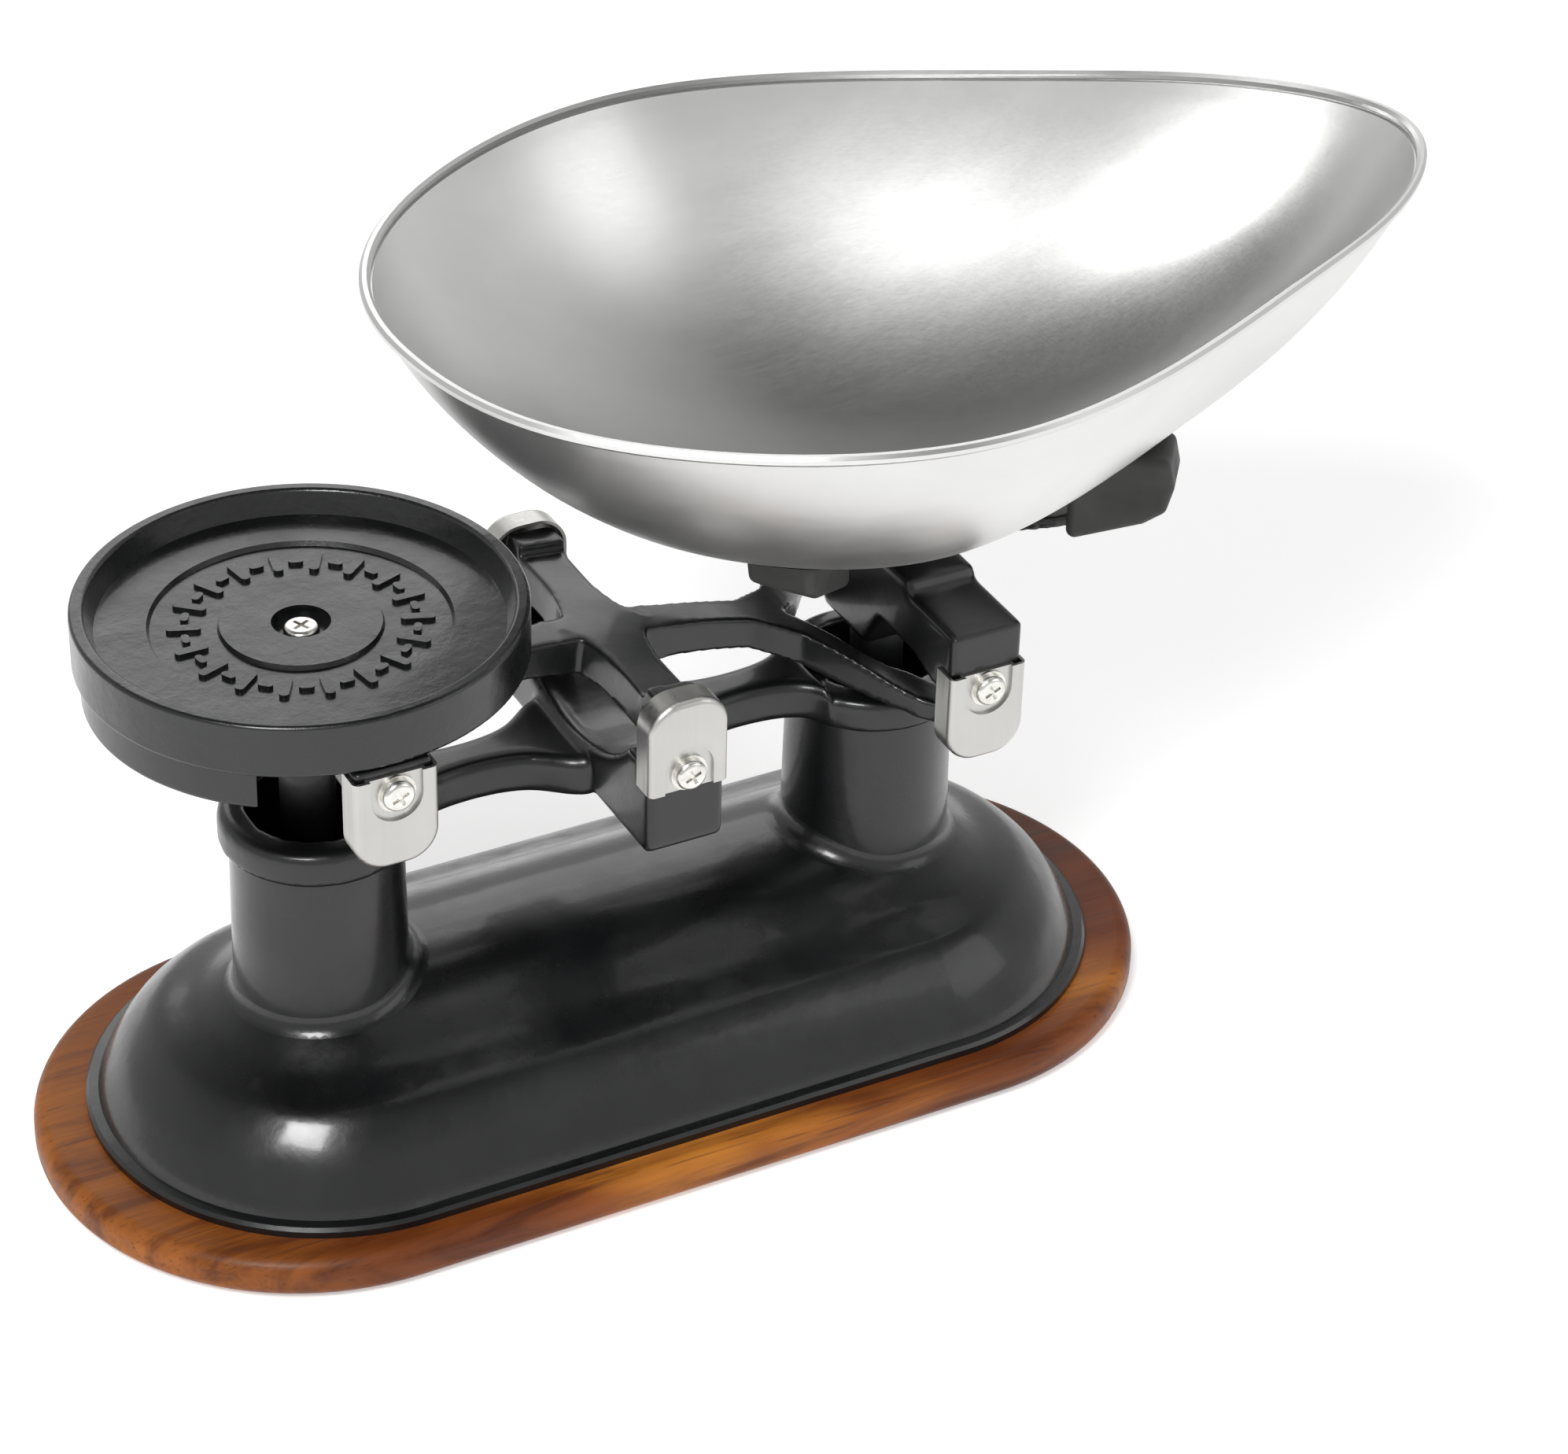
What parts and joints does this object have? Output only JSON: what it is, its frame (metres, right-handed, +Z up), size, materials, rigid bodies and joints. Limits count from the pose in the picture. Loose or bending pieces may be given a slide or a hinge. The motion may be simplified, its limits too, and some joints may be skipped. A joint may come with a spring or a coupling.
{
  "type": "equal arm balance scale",
  "caption": "Equal-arm kitchen balance with a weights plate, a lift-off scoop pan and a tilting beam on an iron base with a timber plinth.",
  "frame": {"origin": "centre of the plane the rubber mat stands on, under the middle of the plinth", "axes": "+X from the weights plate towards the pan, +Z up, +Y from the front of the scale to its back"},
  "size_m": [0.436, 0.226, 0.2519],
  "materials": {
    "timber": "oiled",
    "rubber": "matte",
    "black_enamel": "gloss enamel",
    "stainless": "brushed",
    "brushed_cap": "brushed",
    "hard_steel": "ground",
    "plain_steel": "plain",
    "bright_fixing": "bright"
  },
  "bodies": {
    "base": {"plinth": "timber", "plinth_mat": "rubber", "plinth_screws": "bright_fixing", "plinth_washers": "bright_fixing", "base_casting": "black_enamel", "top_bridge": "black_enamel", "bridge_screws": "black_enamel", "fulcrum_bearing_front": "hard_steel", "fulcrum_bearing_rear": "hard_steel", "centre_cap_front": "brushed_cap", "centre_cap_rear": "brushed_cap", "centre_cap_screws": "bright_fixing", "centre_cap_washers": "bright_fixing", "link_pin": "bright_fixing", "link_clips": "bright_fixing"},
    "beam": {"beam": "black_enamel", "fulcrum_knives": "hard_steel", "weight_end_knives": "hard_steel", "pan_end_knives": "hard_steel"},
    "check_link": {"check_link": "plain_steel"},
    "weight_stool": {"weight_stool": "black_enamel", "weight_bearings": "hard_steel", "weight_cap_front": "brushed_cap", "weight_cap_rear": "brushed_cap", "weight_cap_screws": "bright_fixing", "weight_cap_washers": "bright_fixing", "weight_leg_pin": "bright_fixing", "weight_plate": "black_enamel", "plate_screw": "bright_fixing", "counterweight": "black_enamel", "counterweight_screws": "bright_fixing"},
    "pan_stool": {"pan_stool": "black_enamel", "pan_bearings": "hard_steel", "pan_cap_front": "brushed_cap", "pan_cap_rear": "brushed_cap", "pan_cap_screws": "bright_fixing", "pan_cap_washers": "bright_fixing", "pan_leg_pin": "bright_fixing", "pan_holder": "black_enamel", "holder_screw": "bright_fixing", "pan_pads": "rubber"},
    "pan": {"pan": "stainless", "pan_edge": "stainless"}
  },
  "joints": [
    {"name": "beam_tilt", "type": "hinge", "parent": "base", "child": "beam", "pos_m": [0, 0, 0.1386], "axis": [0, -1, 0], "range_deg": [0, 11.6]},
    {"name": "link_tilt", "type": "hinge", "parent": "base", "child": "check_link", "pos_m": [0, 0, 0.0356], "axis": [0, -1, 0], "range_deg": [0, 11.6]},
    {"name": "weight_stool_level", "type": "hinge", "parent": "beam", "child": "weight_stool", "pos_m": [-0.09053, 0, 0.1478], "axis": [0, -1, 0], "range_deg": [-11.6, 0]},
    {"name": "pan_stool_level", "type": "hinge", "parent": "beam", "child": "pan_stool", "pos_m": [0.09053, 0, 0.1294], "axis": [0, -1, 0], "range_deg": [-11.6, 0]},
    {"name": "pan_lift", "type": "slide", "parent": "pan_stool", "child": "pan", "axis": [0, 0, 1], "range_m": [0, 0.1]}
  ],
  "couplings": [
    {"joint": "link_tilt", "follows": "beam_tilt", "ratio": 1},
    {"joint": "weight_stool_level", "follows": "beam_tilt", "ratio": -1},
    {"joint": "pan_stool_level", "follows": "beam_tilt", "ratio": -1}
  ]
}
